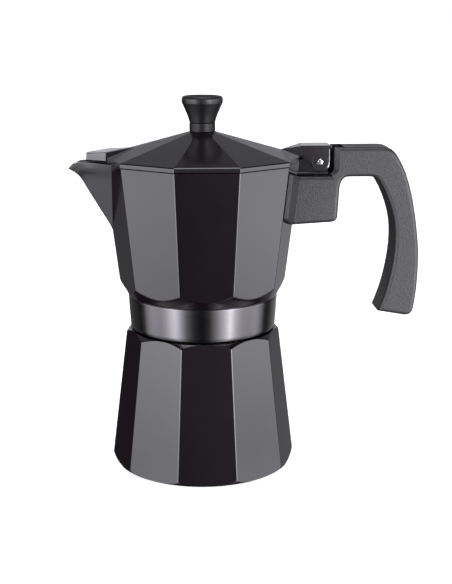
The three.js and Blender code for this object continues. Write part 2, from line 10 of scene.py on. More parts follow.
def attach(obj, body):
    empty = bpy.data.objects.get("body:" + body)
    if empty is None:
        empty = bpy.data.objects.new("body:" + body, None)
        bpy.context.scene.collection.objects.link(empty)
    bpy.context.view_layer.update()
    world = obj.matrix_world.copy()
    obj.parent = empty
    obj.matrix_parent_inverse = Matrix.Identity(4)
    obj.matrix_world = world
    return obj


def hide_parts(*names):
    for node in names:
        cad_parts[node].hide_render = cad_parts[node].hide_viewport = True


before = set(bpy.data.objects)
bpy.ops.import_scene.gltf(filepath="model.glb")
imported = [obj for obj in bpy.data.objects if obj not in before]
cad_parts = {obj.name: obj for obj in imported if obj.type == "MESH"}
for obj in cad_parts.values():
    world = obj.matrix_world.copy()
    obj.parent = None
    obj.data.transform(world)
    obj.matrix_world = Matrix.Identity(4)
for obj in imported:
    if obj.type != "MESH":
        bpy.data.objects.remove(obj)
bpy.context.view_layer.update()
MM = 0.001
scene = bpy.context.scene

# ------------------------------------------------------------------ camera
heading, pitch, roll = math.radians(3.842), math.radians(13.751), math.radians(0.091)
fwd = Vector((math.sin(heading) * math.cos(pitch), math.cos(heading) * math.cos(pitch), -math.sin(pitch)))
right = Vector((math.cos(heading), -math.sin(heading), 0.0))
up = right.cross(fwd)
r4 = right * math.cos(roll) + up * math.sin(roll)
u4 = up * math.cos(roll) - right * math.sin(roll)
cam_data = bpy.data.cameras.new("camera")
cam_data.sensor_fit = "AUTO"
cam_data.sensor_width = 36.0
cam_data.lens = 1172.463 * 36.0 / 584.0
cam_data.clip_start = 0.01
cam_data.clip_end = 50.0
cam = bpy.data.objects.new("camera", cam_data)
scene.collection.objects.link(cam)
rot = Matrix((r4, u4, -fwd)).transposed()
cam.matrix_world = Matrix.Translation(Vector((-28.27, -604.42, 239.85)) * MM) @ rot.to_4x4()
scene.camera = cam
scene.view_settings.view_transform = "Standard"
scene.view_settings.look = "None"


# ------------------------------------------------------------------ materials
def nodes_of(name):
    m = bpy.data.materials.new(name)
    m.use_nodes = True
    t = m.node_tree
    b = t.nodes["Principled BSDF"]
    tc = t.nodes.new("ShaderNodeTexCoord")
    return m, t, b, tc


def scaled(t, source, scale):
    mp = t.nodes.new("ShaderNodeMapping")
    mp.inputs["Scale"].default_value = scale if hasattr(scale, "__len__") else (scale,) * 3
    t.links.new(source, mp.inputs["Vector"])
    return mp.outputs["Vector"]


def noise(t, vec, scale, detail=3.0, rough=0.55):
    n = t.nodes.new("ShaderNodeTexNoise")
    n.inputs["Scale"].default_value = scale
    n.inputs["Detail"].default_value = detail
    n.inputs["Roughness"].default_value = rough
    t.links.new(vec, n.inputs["Vector"])
    return n.outputs["Fac"]


def ramp(t, fac, stops):
    r = t.nodes.new("ShaderNodeValToRGB")
    e = r.color_ramp.elements
    while len(e) < len(stops):
        e.new(0.5)
    for k, (p, c) in enumerate(stops):
        e[k].position = p
        e[k].color = (*c, 1.0) if hasattr(c, "__len__") else (c, c, c, 1.0)
    t.links.new(fac, r.inputs["Fac"])
    return r.outputs["Color"]


def remap(t, fac, lo, hi, a=0.3, b=0.7):
    m = t.nodes.new("ShaderNodeMapRange")
    m.inputs["From Min"].default_value = a
    m.inputs["From Max"].default_value = b
    m.inputs["To Min"].default_value = lo
    m.inputs["To Max"].default_value = hi
    t.links.new(fac, m.inputs["Value"])
    return m.outputs["Result"]


def add(t, a, b, op="ADD"):
    m = t.nodes.new("ShaderNodeMath")
    m.operation = op
    for k, v in enumerate((a, b)):
        if hasattr(v, "links"):
            t.links.new(v, m.inputs[k])
        else:
            m.inputs[k].default_value = v
    return m.outputs[0]


def bump(t, b, height, strength, distance):
    n = t.nodes.new("ShaderNodeBump")
    n.inputs["Strength"].default_value = strength
    n.inputs["Distance"].default_value = distance
    t.links.new(height, n.inputs["Height"])
    t.links.new(n.outputs["Normal"], b.inputs["Normal"])


def coated(name, base, rough):
    """Baked black coating on cast aluminium: satin, faint orange peel, uneven gloss."""
    m, t, b, tc = nodes_of(name)
    o = tc.outputs["Object"]
    big = noise(t, o, 38.0, 3.0)
    fine = noise(t, o, 1500.0, 3.0)
    col = ramp(t, big, [(0.30, tuple(c * 0.86 for c in base)), (0.70, tuple(c * 1.16 for c in base))])
    t.links.new(col, b.inputs["Base Color"])
    smudge = noise(t, o, 85.0, 4.0, 0.6)
    t.links.new(add(t, remap(t, smudge, rough * 0.86, rough * 1.14), remap(t, fine, -0.02, 0.02)), b.inputs["Roughness"])
    b.inputs["Metallic"].default_value = 0.0
    b.inputs["IOR"].default_value = 1.56
    peel = add(t, noise(t, o, 420.0, 2.0), add(t, fine, 0.35, "MULTIPLY"))
    bump(t, b, peel, 0.07, 0.00005)
    return m


def metal(name, base, rough, turned=0.0, cast=0.0, spread=0.16, aniso=0.0, metallic=1.0):
    """Bare or tinted metal: fine turning lines round Z, cast grain, uneven dullness."""
    m, t, b, tc = nodes_of(name)
    o = tc.outputs["Object"]
    big = noise(t, o, 60.0, 4.0, 0.6)
    col = ramp(t, big, [(0.28, tuple(c * (1 - spread) for c in base)), (0.72, tuple(min(1.0, c * (1 + spread)) for c in base))])
    t.links.new(col, b.inputs["Base Color"])
    b.inputs["Metallic"].default_value = metallic
    grain = noise(t, o, 900.0, 4.0, 0.6)
    height = add(t, grain, cast, "MULTIPLY")
    if turned:
        lines = noise(t, scaled(t, o, (45.0, 45.0, 6500.0)), 1.0, 2.0, 0.6)
        lines2 = noise(t, scaled(t, o, (18.0, 18.0, 1900.0)), 1.0, 2.0, 0.5)
        height = add(t, height, add(t, add(t, lines, lines2), turned, "MULTIPLY"))
        t.links.new(add(t, remap(t, big, rough * 0.85, rough * 1.15), remap(t, lines, -0.06, 0.06)), b.inputs["Roughness"])
    else:
        t.links.new(add(t, remap(t, big, rough * 0.82, rough * 1.18), remap(t, grain, -0.03, 0.03)), b.inputs["Roughness"])
    if aniso:
        b.inputs["Anisotropic"].default_value = aniso
    bump(t, b, height, 0.22, 0.00006)
    return m


def plastic(name, base, rough, grain_scale, grain_depth, ior=1.49, streak=0.0):
    """Moulded plastic with a fine spark-eroded grain."""
    m, t, b, tc = nodes_of(name)
    o = tc.outputs["Object"]
    big = noise(t, o, 45.0, 3.0)
    vor = t.nodes.new("ShaderNodeTexVoronoi")
    vor.inputs["Scale"].default_value = grain_scale
    t.links.new(o, vor.inputs["Vector"])
    fine = noise(t, o, grain_scale * 1.6, 3.0, 0.65)
    speck = noise(t, o, grain_scale * 0.9, 2.0, 0.7)
    shade = add(t, add(t, big, 0.45, "MULTIPLY"), add(t, speck, 0.55, "MULTIPLY"))
    t.links.new(ramp(t, shade, [(0.30, tuple(c * 0.74 for c in base)), (0.70, tuple(c * 1.30 for c in base))]), b.inputs["Base Color"])
    t.links.new(add(t, remap(t, big, rough * 0.9, rough * 1.08), remap(t, fine, -0.05, 0.05)), b.inputs["Roughness"])
    b.inputs["IOR"].default_value = ior
    bump(t, b, add(t, add(t, vor.outputs["Distance"], 0.5, "MULTIPLY"), fine), 0.55, grain_depth)
    return m


def silicone(name, base):
    m, t, b, tc = nodes_of(name)
    o = tc.outputs["Object"]
    big = noise(t, o, 70.0, 3.0)
    t.links.new(ramp(t, big, [(0.3, tuple(c * 0.9 for c in base)), (0.7, base)]), b.inputs["Base Color"])
    t.links.new(remap(t, noise(t, o, 300.0), 0.42, 0.60), b.inputs["Roughness"])
    b.inputs["Subsurface Weight"].default_value = 0.18
    b.inputs["Subsurface Radius"].default_value = (0.002, 0.0016, 0.0012)
    bump(t, b, noise(t, o, 1200.0, 3.0), 0.2, 0.00004)
    return m


COAT = coated("coat_black", (0.0026, 0.0012, 0.0024), 0.115)
COAT_LID = coated("coat_black_lid", (0.0046, 0.0032, 0.0044), 0.165)
SKIRT = metal("skirt_turned", (0.070, 0.068, 0.070), 0.165, turned=0.16, cast=0.10, spread=0.06)
BARE = metal("bare_aluminium", (0.40, 0.40, 0.41), 0.38, turned=0.0, cast=1.0, spread=0.10)
TURNED = metal("turned_aluminium", (0.42, 0.42, 0.43), 0.32, turned=1.2, cast=0.3, spread=0.08)
BRASS = metal("brass", (0.70, 0.47, 0.19), 0.24, turned=0.0, cast=0.35, spread=0.12)
STEEL = metal("bright_steel", (0.74, 0.74, 0.76), 0.16, turned=0.0, cast=0.18, spread=0.07)
HANDLE = plastic("handle_plastic", (0.0078, 0.0073, 0.0080), 0.44, 1500.0, 0.00022)
KNOB = plastic("knob_plastic", (0.0030, 0.0024, 0.0030), 0.36, 2400.0, 0.00005, 1.38)
COLLAR = plastic("collar_plastic", (0.0030, 0.0024, 0.0028), 0.42, 2400.0, 0.00005, 1.30)
SILICONE = silicone("gasket_silicone", (0.74, 0.72, 0.67))
SEAL = silicone("seal_rubber", (0.52, 0.12, 0.07))


# ------------------------------------------------------------------ mesh tools
def obj_from(name, verts, faces, mats, mat_index=None):
    me = bpy.data.meshes.new(name)
    me.from_pydata([tuple(v) for v in verts], [], faces)
    for m in mats:
        me.materials.append(m)
    if mat_index is not None:
        me.polygons.foreach_set("material_index", mat_index)
    me.validate()
    me.update()
    o = bpy.data.objects.new(name, me)
    scene.collection.objects.link(o)
    return o


def outward(o):
    bm = bmesh.new()
    bm.from_mesh(o.data)
    bmesh.ops.recalc_face_normals(bm, faces=bm.faces)
    if bm.calc_volume(signed=True) < 0:
        bmesh.ops.reverse_faces(bm, faces=bm.faces)
    bm.to_mesh(o.data)
    bm.free()
    return o


def rounded(P, rad, seg=3, closed=False):
    """Rows P[n, m, 3]; the corner at row i is rounded over the length rad[i]. Returns the new rows and the row each came from."""
    n = len(P)
    out, src = [], []
    for i in range(n):
        d = rad[i]
        if d <= 0 or (not closed and i in (0, n - 1)):
            out.append(P[i])
            src.append(i)
            continue
        a, b = P[(i - 1) % n] - P[i], P[(i + 1) % n] - P[i]
        la, lb = np.linalg.norm(a, axis=1)[:, None] + 1e-9, np.linalg.norm(b, axis=1)[:, None] + 1e-9
        da, db = np.minimum(d, 0.45 * la), np.minimum(d, 0.45 * lb)
        A, B = P[i] + a / la * da, P[i] + b / lb * db
        for k in range(seg + 1):
            u = k / seg
            out.append((1 - u) ** 2 * A + 2 * u * (1 - u) * P[i] + u * u * B)
            src.append(i)
    return np.array(out), src


def skin(name, rows, mats, closed=False, mat_rows=None, src=None, poles=True):
    """Quads between rows of m points that run round Z. closed joins the last row to the first; otherwise end rows of zero size become poles."""
    n, m, _ = rows.shape
    first_pole = not closed and poles and np.ptp(rows[0], axis=0).max() < 1e-6
    last_pole = not closed and poles and np.ptp(rows[-1], axis=0).max() < 1e-6
    verts, start = [], []
    for i in range(n):
        start.append(len(verts))
        if (i == 0 and first_pole) or (i == n - 1 and last_pole):
            verts.append(rows[i][0] * MM)
        else:
            verts.extend(rows[i] * MM)
    faces, mi = [], []
    last = n if closed else n - 1
    for i in range(last):
        i2 = (i + 1) % n
        a, b = start[i], start[i2]
        k = mat_rows(src[i] if src else i, rows[i]) if mat_rows else 0
        for j in range(m):
            j2 = (j + 1) % m
            if i == 0 and first_pole:
                f = (a, b + j, b + j2)
            elif i2 == n - 1 and last_pole and not closed:
                f = (a + j, b, a + j2)
            else:
                f = (a + j, b + j, b + j2, a + j2)
            faces.append(f)
            mi.append(k)
    return outward(obj_from(name, verts, faces, mats, mi))


def turned(name, prof, mats, rad=0.3, seg=3, cols=96, closed=False, mat_rows=None, axis="Z", at=(0, 0, 0)):
    """Profile of (radius, distance along the axis) turned about it, its corners rounded."""
    th = np.linspace(0, 2 * math.pi, cols, endpoint=False)
    P = np.array([[(r * math.cos(a), r * math.sin(a), z) for a in th] for r, z in prof])
    radii = rad if hasattr(rad, "__len__") else [rad] * len(prof)
    rows, src = rounded(P, radii, seg, closed)
    if axis == "Y":
        rows = np.stack([rows[..., 0], rows[..., 2], -rows[..., 1]], -1)
    rows = rows + np.array(at, float)
    return skin(name, rows, mats, closed, mat_rows, src)


def prism(name, outline, y0, y1, mats, bevel=0.0, seg=4):
    """Outline of (x, z), given thickness from y0 to y1, with its long edges rounded."""
    p = np.array(outline, float)
    area = 0.5 * np.sum(p[:, 0] * np.roll(p[:, 1], -1) - np.roll(p[:, 0], -1) * p[:, 1])
    if area < 0:
        p = p[::-1]
    n = len(p)
    e = np.roll(p, -1, 0) - p
    e /= np.linalg.norm(e, axis=1)[:, None] + 1e-12
    nin = np.stack([-e[:, 1], e[:, 0]], -1)
    prev = np.roll(nin, 1, 0)
    mit = (nin + prev) / np.maximum(0.35, 1 + np.sum(nin * prev, 1))[:, None]
    rings = []
    if bevel > 0:
        for k in range(seg + 1):
            a = k / seg * math.pi / 2
            rings.append((bevel * (1 - math.sin(a)), y0 + bevel * (1 - math.cos(a))))
        for k in range(seg, -1, -1):
            a = k / seg * math.pi / 2
            rings.append((bevel * (1 - math.sin(a)), y1 - bevel * (1 - math.cos(a))))
    else:
        rings = [(0.0, y0), (0.0, y1)]
    verts = []
    for inset, y in rings:
        q = p + mit * inset
        verts.extend((x * MM, y * MM, z * MM) for x, z in q)
    faces = []
    for k in range(len(rings) - 1):
        for j in range(n):
            j2 = (j + 1) % n
            faces.append((k * n + j, (k + 1) * n + j, (k + 1) * n + j2, k * n + j2))
    faces.append(tuple(range(n)))
    last = (len(rings) - 1) * n
    faces.append(tuple(last + j for j in reversed(range(n))))
    return outward(obj_from(name, verts, faces, mats))


def hull(name, pts, mats, bevel=0.0, seg=3):
    bm = bmesh.new()
    for p in pts:
        bm.verts.new(Vector(p) * MM)
    r = bmesh.ops.convex_hull(bm, input=bm.verts)
    bmesh.ops.delete(bm, geom=[g for g in r["geom_interior"] if isinstance(g, bmesh.types.BMVert)], context="VERTS")
    bmesh.ops.dissolve_limit(bm, angle_limit=math.radians(2), verts=bm.verts, edges=bm.edges)
    if bevel:
        bmesh.ops.bevel(bm, geom=list(bm.edges) + list(bm.verts), offset=bevel * MM, segments=seg, profile=0.5, affect="EDGES", clamp_overlap=True)
    me = bpy.data.meshes.new(name)
    bm.to_mesh(me)
    bm.free()
    for m in mats:
        me.materials.append(m)
    o = bpy.data.objects.new(name, me)
    scene.collection.objects.link(o)
    return outward(o)


def boxed(name, x0, x1, y0, y1, z0, z1, mats, bevel=0.0):
    return hull(name, [(x, y, z) for x in (x0, x1) for y in (y0, y1) for z in (z0, z1)], mats, bevel)


def rod(name, r, a, b, mats, axis="Y", at=(0, 0, 0), cols=48, chamfer=0.0):
    c = chamfer
    prof = [(0, a), (r - c, a), (r, a + c), (r, b - c), (r - c, b), (0, b)] if c else [(0, a), (r, a), (r, b), (0, b)]
    return turned(name, prof, mats, 0.0, cols=cols, axis=axis, at=at)


def combine(o, others, op):
    for x in others if isinstance(others, (list, tuple)) else [others]:
        md = o.modifiers.new("b", "BOOLEAN")
        md.operation = op
        md.object = x
        md.solver = "MANIFOLD"
        n_before = len(o.data.polygons)
        dg = bpy.context.evaluated_depsgraph_get()
        me = bpy.data.meshes.new_from_object(o.evaluated_get(dg), preserve_all_data_layers=True, depsgraph=dg)
        if len(me.polygons) == 0 or len(me.polygons) == n_before and op != "UNION":
            md.solver = "EXACT"
            dg = bpy.context.evaluated_depsgraph_get()
            me = bpy.data.meshes.new_from_object(o.evaluated_get(dg), preserve_all_data_layers=True, depsgraph=dg)
        o.modifiers.remove(md)
        old = o.data
        o.data = me
        bpy.data.meshes.remove(old)
        bpy.data.objects.remove(x, do_unlink=True)
    return o


def finish_piece(o, name, body, node, angle=32.0, weighted=True):
    bm = bmesh.new()
    bm.from_mesh(o.data)
    bmesh.ops.remove_doubles(bm, verts=bm.verts, dist=1e-7)
    bmesh.ops.dissolve_degenerate(bm, edges=bm.edges, dist=1e-7)
    bm.to_mesh(o.data)
    bm.free()
    o.data.shade_smooth()
    o.data.set_sharp_from_angle(angle=math.radians(angle))
    if weighted:
        w = o.modifiers.new("weighted_normal", "WEIGHTED_NORMAL")
        w.mode = "FACE_AREA"
        w.weight = 60
        w.keep_sharp = True
    o.name = name
    o.data.name = name
    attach(o, body)
    if node:
        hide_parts(*([node] if isinstance(node, str) else node))
    return o


# ------------------------------------------------------------------ ten-sided section
C18 = math.cos(math.pi / 10)
OFFS = [0, 0.16, 0.32, 0.50, 0.7, 1.1, 1.9, 3.5, 6, 9, 12, 15, 18]
NOSE = [0, 0.035, 0.07, 0.105, 0.14, 0.18, 0.22, 0.265, 0.31]


def columns(spout=False):
    deg = []
    for k in range(10):
        off = OFFS
        if spout and k == 5:
            off = NOSE + OFFS[4:]
        deg += [36 * k - o for o in reversed(off[1:-1])] + [36 * k + o for o in off]
    return np.array(deg, float)


def ten(deg, corner, rho=1.3):
    """Radius of a ten-sided section with corner radius `corner`, its corners rounded by rho, at angles deg. Broadcasts."""
    phi = np.abs((np.asarray(deg, float) + 18.0) % 36.0 - 18.0) * math.pi / 180
    corner = np.asarray(corner, float)
    a = corner * C18
    rho = np.minimum(rho, 0.3 * corner)
    c = (a - rho) / C18
    flat = a / np.cos(math.pi / 10 - phi)
    circ = c * np.cos(phi) + np.sqrt(np.maximum(0.0, rho ** 2 - (c * np.sin(phi)) ** 2))
    t = np.arctan2(rho * math.sin(math.pi / 10), c + rho * C18)
    return np.where(phi < t, circ, flat)


def polar(r, deg, z):
    r, deg, z = np.broadcast_arrays(np.asarray(r, float), np.asarray(deg, float), np.asarray(z, float))
    t = np.radians(deg)
    return np.stack([r * np.cos(t), r * np.sin(t), z], -1)


def helix_ridge(deg, z, z0, turns, pitch, height, base, crest):
    """Height of a thread ridge at (angle, z), zero off the ridge; it runs out at both ends."""
    out = np.zeros(np.broadcast(deg, z).shape)
    for k in range(-1, int(turns) + 2):
        zc = z0 + (np.asarray(deg) / 360.0 + k) * pitch
        along = np.asarray(deg) / 360.0 + k
        fade = np.clip(np.minimum(along, turns - along) / 0.25, 0, 1)
        d = np.abs(z - zc)
        h = np.clip((base / 2 - d) / (base / 2 - crest / 2), 0, 1) * height * fade
        out = np.maximum(out, h)
    return out


# ------------------------------------------------------------------ boiler
DEG = columns()
dec_boiler = lambda z: np.where(z < 6.5, 49.65 - (z + 2) * (1.05 / 8.5), 48.6 - (z - 6.5) * (8.0 / 65.0))
foot_z = np.array([0, 0.8, 2.3, 4.6, 8.0, 66.0, 70.8, 73.6])
foot_r = np.array([45.2, 47.1, 48.5, 49.3, 49.4, 44.5, 41.1, 38.4])
zz = np.linspace(0, 73.6, 3681)
rt = np.interp(zz, foot_z, foot_r)
zb, zt = [], []
for d in DEG:
    over = rt >= ten(d, dec_boiler(zz))
    k = np.argmax(over)
    zb.append(zz[k])
    zt.append(zz[len(zz) - 1 - np.argmax(over[::-1])])
zb, zt = np.array(zb), np.array(zt)
zb = np.maximum(zb, 0.25)
P, rad, tag = [], [], []


def row(P, rad, tag, pts, r=0.0, t=0):
    P.append(np.broadcast_to(pts, (len(DEG), 3)).copy() if pts.ndim == 1 else pts)
    rad.append(r)
    tag.append(t)


row(P, rad, tag, polar(0 * DEG, DEG, 0.5))
row(P, rad, tag, polar(0 * DEG + 14, DEG, 0.5))
row(P, rad, tag, polar(0 * DEG + 36, DEG, 0.5), 0.4)
row(P, rad, tag, polar(0 * DEG + 37, DEG, 0.0), 0.4)
row(P, rad, tag, polar(0 * DEG + 45.0, DEG, 0.0), 0.6)
for f in (0.2, 0.45, 0.7, 0.88):
    row(P, rad, tag, polar(np.interp(zb * f, foot_z, foot_r), DEG, zb * f))
row(P, rad, tag, polar(ten(DEG, dec_boiler(zb)), DEG, zb), 0.5)
for f in (0.1, 0.3, 0.5, 0.7, 0.9):
    z = zb + (zt - zb) * f
    row(P, rad, tag, polar(ten(DEG, dec_boiler(z)), DEG, z))
row(P, rad, tag, polar(ten(DEG, dec_boiler(zt)), DEG, zt), 0.5)
row(P, rad, tag, polar(0 * DEG + 38.4, DEG, 73.6), 0.25)
row(P, rad, tag, polar(0 * DEG + 33.9, DEG, 73.6), 0.5, 1)
for z in np.arange(75.4, 85.51, 0.26):
    row(P, rad, tag, polar(33.9 + helix_ridge(DEG, z, 77.4, 2.4, 3.0, 1.0, 2.0, 0.7), DEG, z), 0, 1)
row(P, rad, tag, polar(0 * DEG + 33.9, DEG, 85.7), 0.0, 1)
row(P, rad, tag, polar(0 * DEG + 33.4, DEG, 86.2), 0.2, 1)
row(P, rad, tag, polar(0 * DEG + 30.4, DEG, 86.2), 0.3, 1)
for r, z in [(30.4, 73.2), (31.6, 71.6), (34.6, 68.6), (35.9, 66), (43.0, 7.0), (42.2, 4.3), (39.8, 3.2)]:
    row(P, rad, tag, polar(0 * DEG + r, DEG, z), 0.8, 2)
row(P, rad, tag, polar(0 * DEG + 16, DEG, 3.2), 0, 2)
row(P, rad, tag, polar(0 * DEG, DEG, 3.2), 0, 2)
rows, src = rounded(np.array(P), rad, 4)
boiler = skin("boiler", rows, [COAT, TURNED, BARE], False, lambda s, r: tag[s], src)
boss = turned("t", [(0, 36), (9.6, 36), (9.6, 43.6), (8.6, 44.0 - 0.8), (0, 43.2)], [COAT], 0.0, cols=72, axis="Y", at=(0, 0, 48))
bpy.data.objects.remove(boss, do_unlink=True)
boss = turned("t", [(0, 41.0), (8.6, 41.0), (8.6, 43.2), (0, 43.2)], [COAT], [0, 0, 0.5, 0], cols=72, axis="Y", at=(0, 0, 48))
combine(boiler, boss, "UNION")
combine(boiler, rod("t", 4.9, 30, 50, [TURNED], at=(0, 0, 48)), "DIFFERENCE")
finish_piece(boiler, "boiler_casting", "boiler", "boiler_chamber")


# ------------------------------------------------------------------ collector
DEG = columns(True)
OFF = (DEG - 180.0 + 180.0) % 360.0 - 180.0            # signed angle from the spout's keel
SP = np.abs(OFF) <= 0.3101
NB = (~SP) & (np.abs(OFF) < 35.0)
SGN = np.where(OFF < 0, -1.0, 1.0)                     # + is towards -Y
cornerR = lambda z: 43.7 + 0.1226 * (z - 99)
keel = np.array([(-44.0, 121.0), (-47.1, 126.3), (-49.9, 131.1), (-53.0, 136.4), (-56.1, 141.7), (-59.2, 146.9), (-60.7, 149.5), (-62.2, 152.2), (-63.1, 153.6),
                 (-64.6, 155.2), (-66.4, 156.6), (-68.2, 157.5), (-69.6, 158.2)])
half = lambda z: np.maximum(0.25, 15.1 * (z - 125.4) / 36.6)


def smooth_keel(z):
    k = np.interp(z, keel[:, 1], keel[:, 0])
    k1 = np.interp(z - 0.7, keel[:, 1], keel[:, 0])
    k2 = np.interp(z + 0.7, keel[:, 1], keel[:, 0])
    return np.where((z > 128) & (z < 157.4), (k + k1 + k2) / 3, k)


def section(z, corner, w, apex, nose, rho):
    """One row of the collector at heights z (one per column): ten flats, with the spout's three-cornered part near 180 degrees."""
    z = np.broadcast_to(z, DEG.shape).astype(float)
    corner, w, apex = (np.broadcast_to(v, DEG.shape).astype(float) for v in (corner, w, apex))
    flat = corner * C18
    xb = -(flat - 0.309 * w) / 0.951
    e = np.degrees(np.arctan2(w, -xb))
    e = np.maximum(e, 0.31)
    deg = DEG.copy()
    warped = 180 + SGN * (e + (np.abs(OFF) - 0.31) * (35.0 - e) / (35.0 - 0.31))
    deg[NB] = warped[NB]
    pts = polar(ten(deg, corner, rho), deg, z)
    on = SP & (w > 0.26)
    apex = np.minimum(apex, -corner)
    s = np.abs(OFF) / 0.31
    crease = np.stack([xb, -SGN * w], -1)
    tip = np.stack([apex, 0 * w], -1)
    edge = crease - tip
    L = np.linalg.norm(edge, axis=1)
    d = np.minimum(nose, 0.45 * L)
    u = edge / (L[:, None] + 1e-9)
    other = u * np.array([1.0, -1.0])
    A, B = tip + other * d[:, None], tip + u * d[:, None]   # nose curve from the far flank to this one
    tt = 0.5 + 0.5 * np.minimum(1.0, s / 0.4516)
    nosep = ((1 - tt) ** 2)[:, None] * A + (2 * tt * (1 - tt))[:, None] * tip + (tt ** 2)[:, None] * B
    g = np.clip((s - 0.4516) / (1 - 0.4516), 0, 1)[:, None]
    flank = B + (crease - B) * g
    q = np.where((s <= 0.4516)[:, None], nosep, flank)
    q[:, 0] -= (d * 0.0)
    pts[on, 0], pts[on, 1] = q[on, 0], q[on, 1]
    return pts


lip_x = np.array([-90, -70.2, -69.0, -66.9, -65.9, -63.9, -61.0, -54.5, -51.0, 90])
lip_z = np.array([157.2, 157.2, 158.3, 160.4, 161.2, 161.9, 162.2, 162.2, 161.78, 161.78])


def nose_of(z):
    return np.interp(z, [125, 131, 150], [0.3, 1.3, 1.5])


def outer(z):
    w = half(z)
    nz = nose_of(z)
    k = smooth_keel(z)
    f = np.clip((z - 125.4) / 12, 0, 1)
    return section(z, cornerR(z), w, k - 0.30 * f * nz, nz, 0.8 + 0.5 * np.clip((np.abs(OFF) - 5.0) / 5.0, 0, 1))


innerR = lambda z: 40.2 + (z - 99.6) * (8.4 / 62.25)


def inner(z):
    w = np.maximum(0.25, half(z) - 2.5)
    k = np.minimum(smooth_keel(z) + np.where(z > 156, 2.4, 3.1) , 0) - 0.2
    return section(z, innerR(z), np.where(z < 131.9, 0.25, w), k, 1.2, 2.2)


def top_heights(fn):
    z = np.full(len(DEG), 161.78)
    for _ in range(60):
        p = fn(z)
        target = np.interp(p[:, 0], lip_x, lip_z)
        z = np.where(np.abs(OFF) < 35.7, 0.6 * z + 0.4 * target, 161.78)
    return z


zc = []
cup_z = np.array([92.2, 94.2, 96.1, 99.4, 104.0, 170.0])
cup_r = np.array([39.4, 40.2, 41.3, 43.85, 45.9, 70.0])
zz = np.linspace(92.2, 104, 1181)
rc = np.interp(zz, cup_z, cup_r)
for d in DEG:
    zc.append(zz[np.argmax(rc >= ten(d, cornerR(zz)))])
zc = np.array(zc)
P, rad, tag = [], [], []
base = lambda r, z: polar(0 * DEG + r, DEG, z)
# Underside, bore and thread (turned bare), then the skirt, the cup, the ten flats, the rim, the inside.
row(P, rad, tag, base(6.3, 93.3), 0.2, 2)
row(P, rad, tag, base(22.0, 93.3), 0.5, 2)
row(P, rad, tag, base(26.5, 92.0), 0.5, 2)
row(P, rad, tag, base(35.4, 92.0), 0.2, 2)
row(P, rad, tag, base(35.4, 87.2), 0.0, 2)
row(P, rad, tag, base(36.2, 86.6), 0.2, 2)
for z in np.arange(86.0, 75.3, -0.26):
    row(P, rad, tag, polar(36.2 - helix_ridge(DEG, z, 76.6, 2.9, 3.0, 0.85, 2.0, 0.7), DEG, z), 0, 2)
row(P, rad, tag, base(36.2, 75.0), 0.0, 2)
row(P, rad, tag, base(36.6, 74.2), 0.1, 2)
row(P, rad, tag, base(36.8, 74.0), 0.1, 1)
row(P, rad, tag, base(36.95, 74.0), 0.1, 1)
row(P, rad, tag, base(37.55, 74.25), 0.25, 1)
row(P, rad, tag, base(38.05, 74.95), 0.45, 1)
row(P, rad, tag, base(38.30, 76.1), 0.5, 1)
row(P, rad, tag, base(38.75, 82.6), 0.0, 1)
row(P, rad, tag, base(39.28, 91.2), 0.25, 1)
row(P, rad, tag, base(39.20, 91.75), 0.15, 1)
row(P, rad, tag, base(38.95, 92.0), 0.12, 1)
row(P, rad, tag, base(39.30, 92.35), 0.15, 0)
for f in (0.25, 0.5, 0.75, 0.9):
    z = 92.35 + (zc - 92.35) * f
    row(P, rad, tag, polar(np.interp(z, cup_z, cup_r), DEG, z))
row(P, rad, tag, polar(ten(DEG, cornerR(zc)), DEG, zc), 0.5)
zo, zi = top_heights(outer), top_heights(inner)
for f in (0.06, 0.2, 0.34):
    z = zc + (124.6 - zc) * f / 0.4
    row(P, rad, tag, outer(np.minimum(z, 124.6)))
for z in np.arange(125.4, 127.6, 0.55):
    row(P, rad, tag, outer(np.full(len(DEG), z)))
for f in np.linspace(0.0, 1.0, 30) ** 0.9:
    z = 128.0 + (zo - 128.0) * f
    row(P, rad, tag, outer(z), 0.35 if f == 1.0 else 0.0)
for f in np.linspace(1.0, 0.0, 24):
    z = 132.4 + (zi - 132.4) * f
    row(P, rad, tag, inner(z), 0.45 if f == 1.0 else 0.0, 3)
for z in (131.6, 128.0, 118.0, 108.0, 99.6):
    row(P, rad, tag, inner(np.full(len(DEG), z)), 0.8 if z == 99.6 else 0.0, 3)
row(P, rad, tag, polar(ten(DEG, 38.2, 3.0), DEG, 97.0), 0.8, 3)
row(P, rad, tag, polar(ten(DEG, 35.0, 4.0), DEG, 95.6), 0.8, 3)
row(P, rad, tag, base(22.0, 95.6), 0.0, 3)
row(P, rad, tag, base(9.8, 95.6), 0.7, 3)
row(P, rad, tag, base(9.2, 98.4), 0.4, 3)
row(P, rad, tag, base(8.6, 100.4), 0.4, 3)
row(P, rad, tag, base(6.3, 100.4), 0.2, 3)
rows, src = rounded(np.array(P), rad, 3, closed=True)
collector = skin("collector", rows, [COAT, SKIRT, TURNED, BARE], True, lambda s, r: tag[s], src)
# Hinge lug and the tongue that carries the handle.
lug = boxed("t", 47.3, 64.7, -6.8, 6.8, 154.9, 156.2, [COAT], 0.3)
tongue_up = prism("t", [(48.2, 155.2), (64.7, 155.2), (64.7, 161.5), (64.4, 163.4), (63.6, 164.7), (62.2, 165.7), (60.5, 166.1), (52.6, 164.7), (51.4, 163.6), (50.9, 161.78), (48.2, 161.4)], -4.6, 4.6, [COAT], 0.35, 3)
tongue_down = prism("t", [(46.4, 139), (58.2, 141.4), (58.5, 142), (58.5, 155.5), (47.6, 155.5)], -3.0, 3.0, [COAT], 0.3, 3)
combine(collector, [lug, tongue_up, tongue_down], "UNION")
combine(collector, rod("t", 1.9, -12, 12, [STEEL], at=(60.5, 0, 161.5), cols=40), "DIFFERENCE")
combine(collector, rod("t", 2.3, 138.5, 152, [BARE], axis="Z", at=(54, 0, 0), cols=32), "DIFFERENCE")
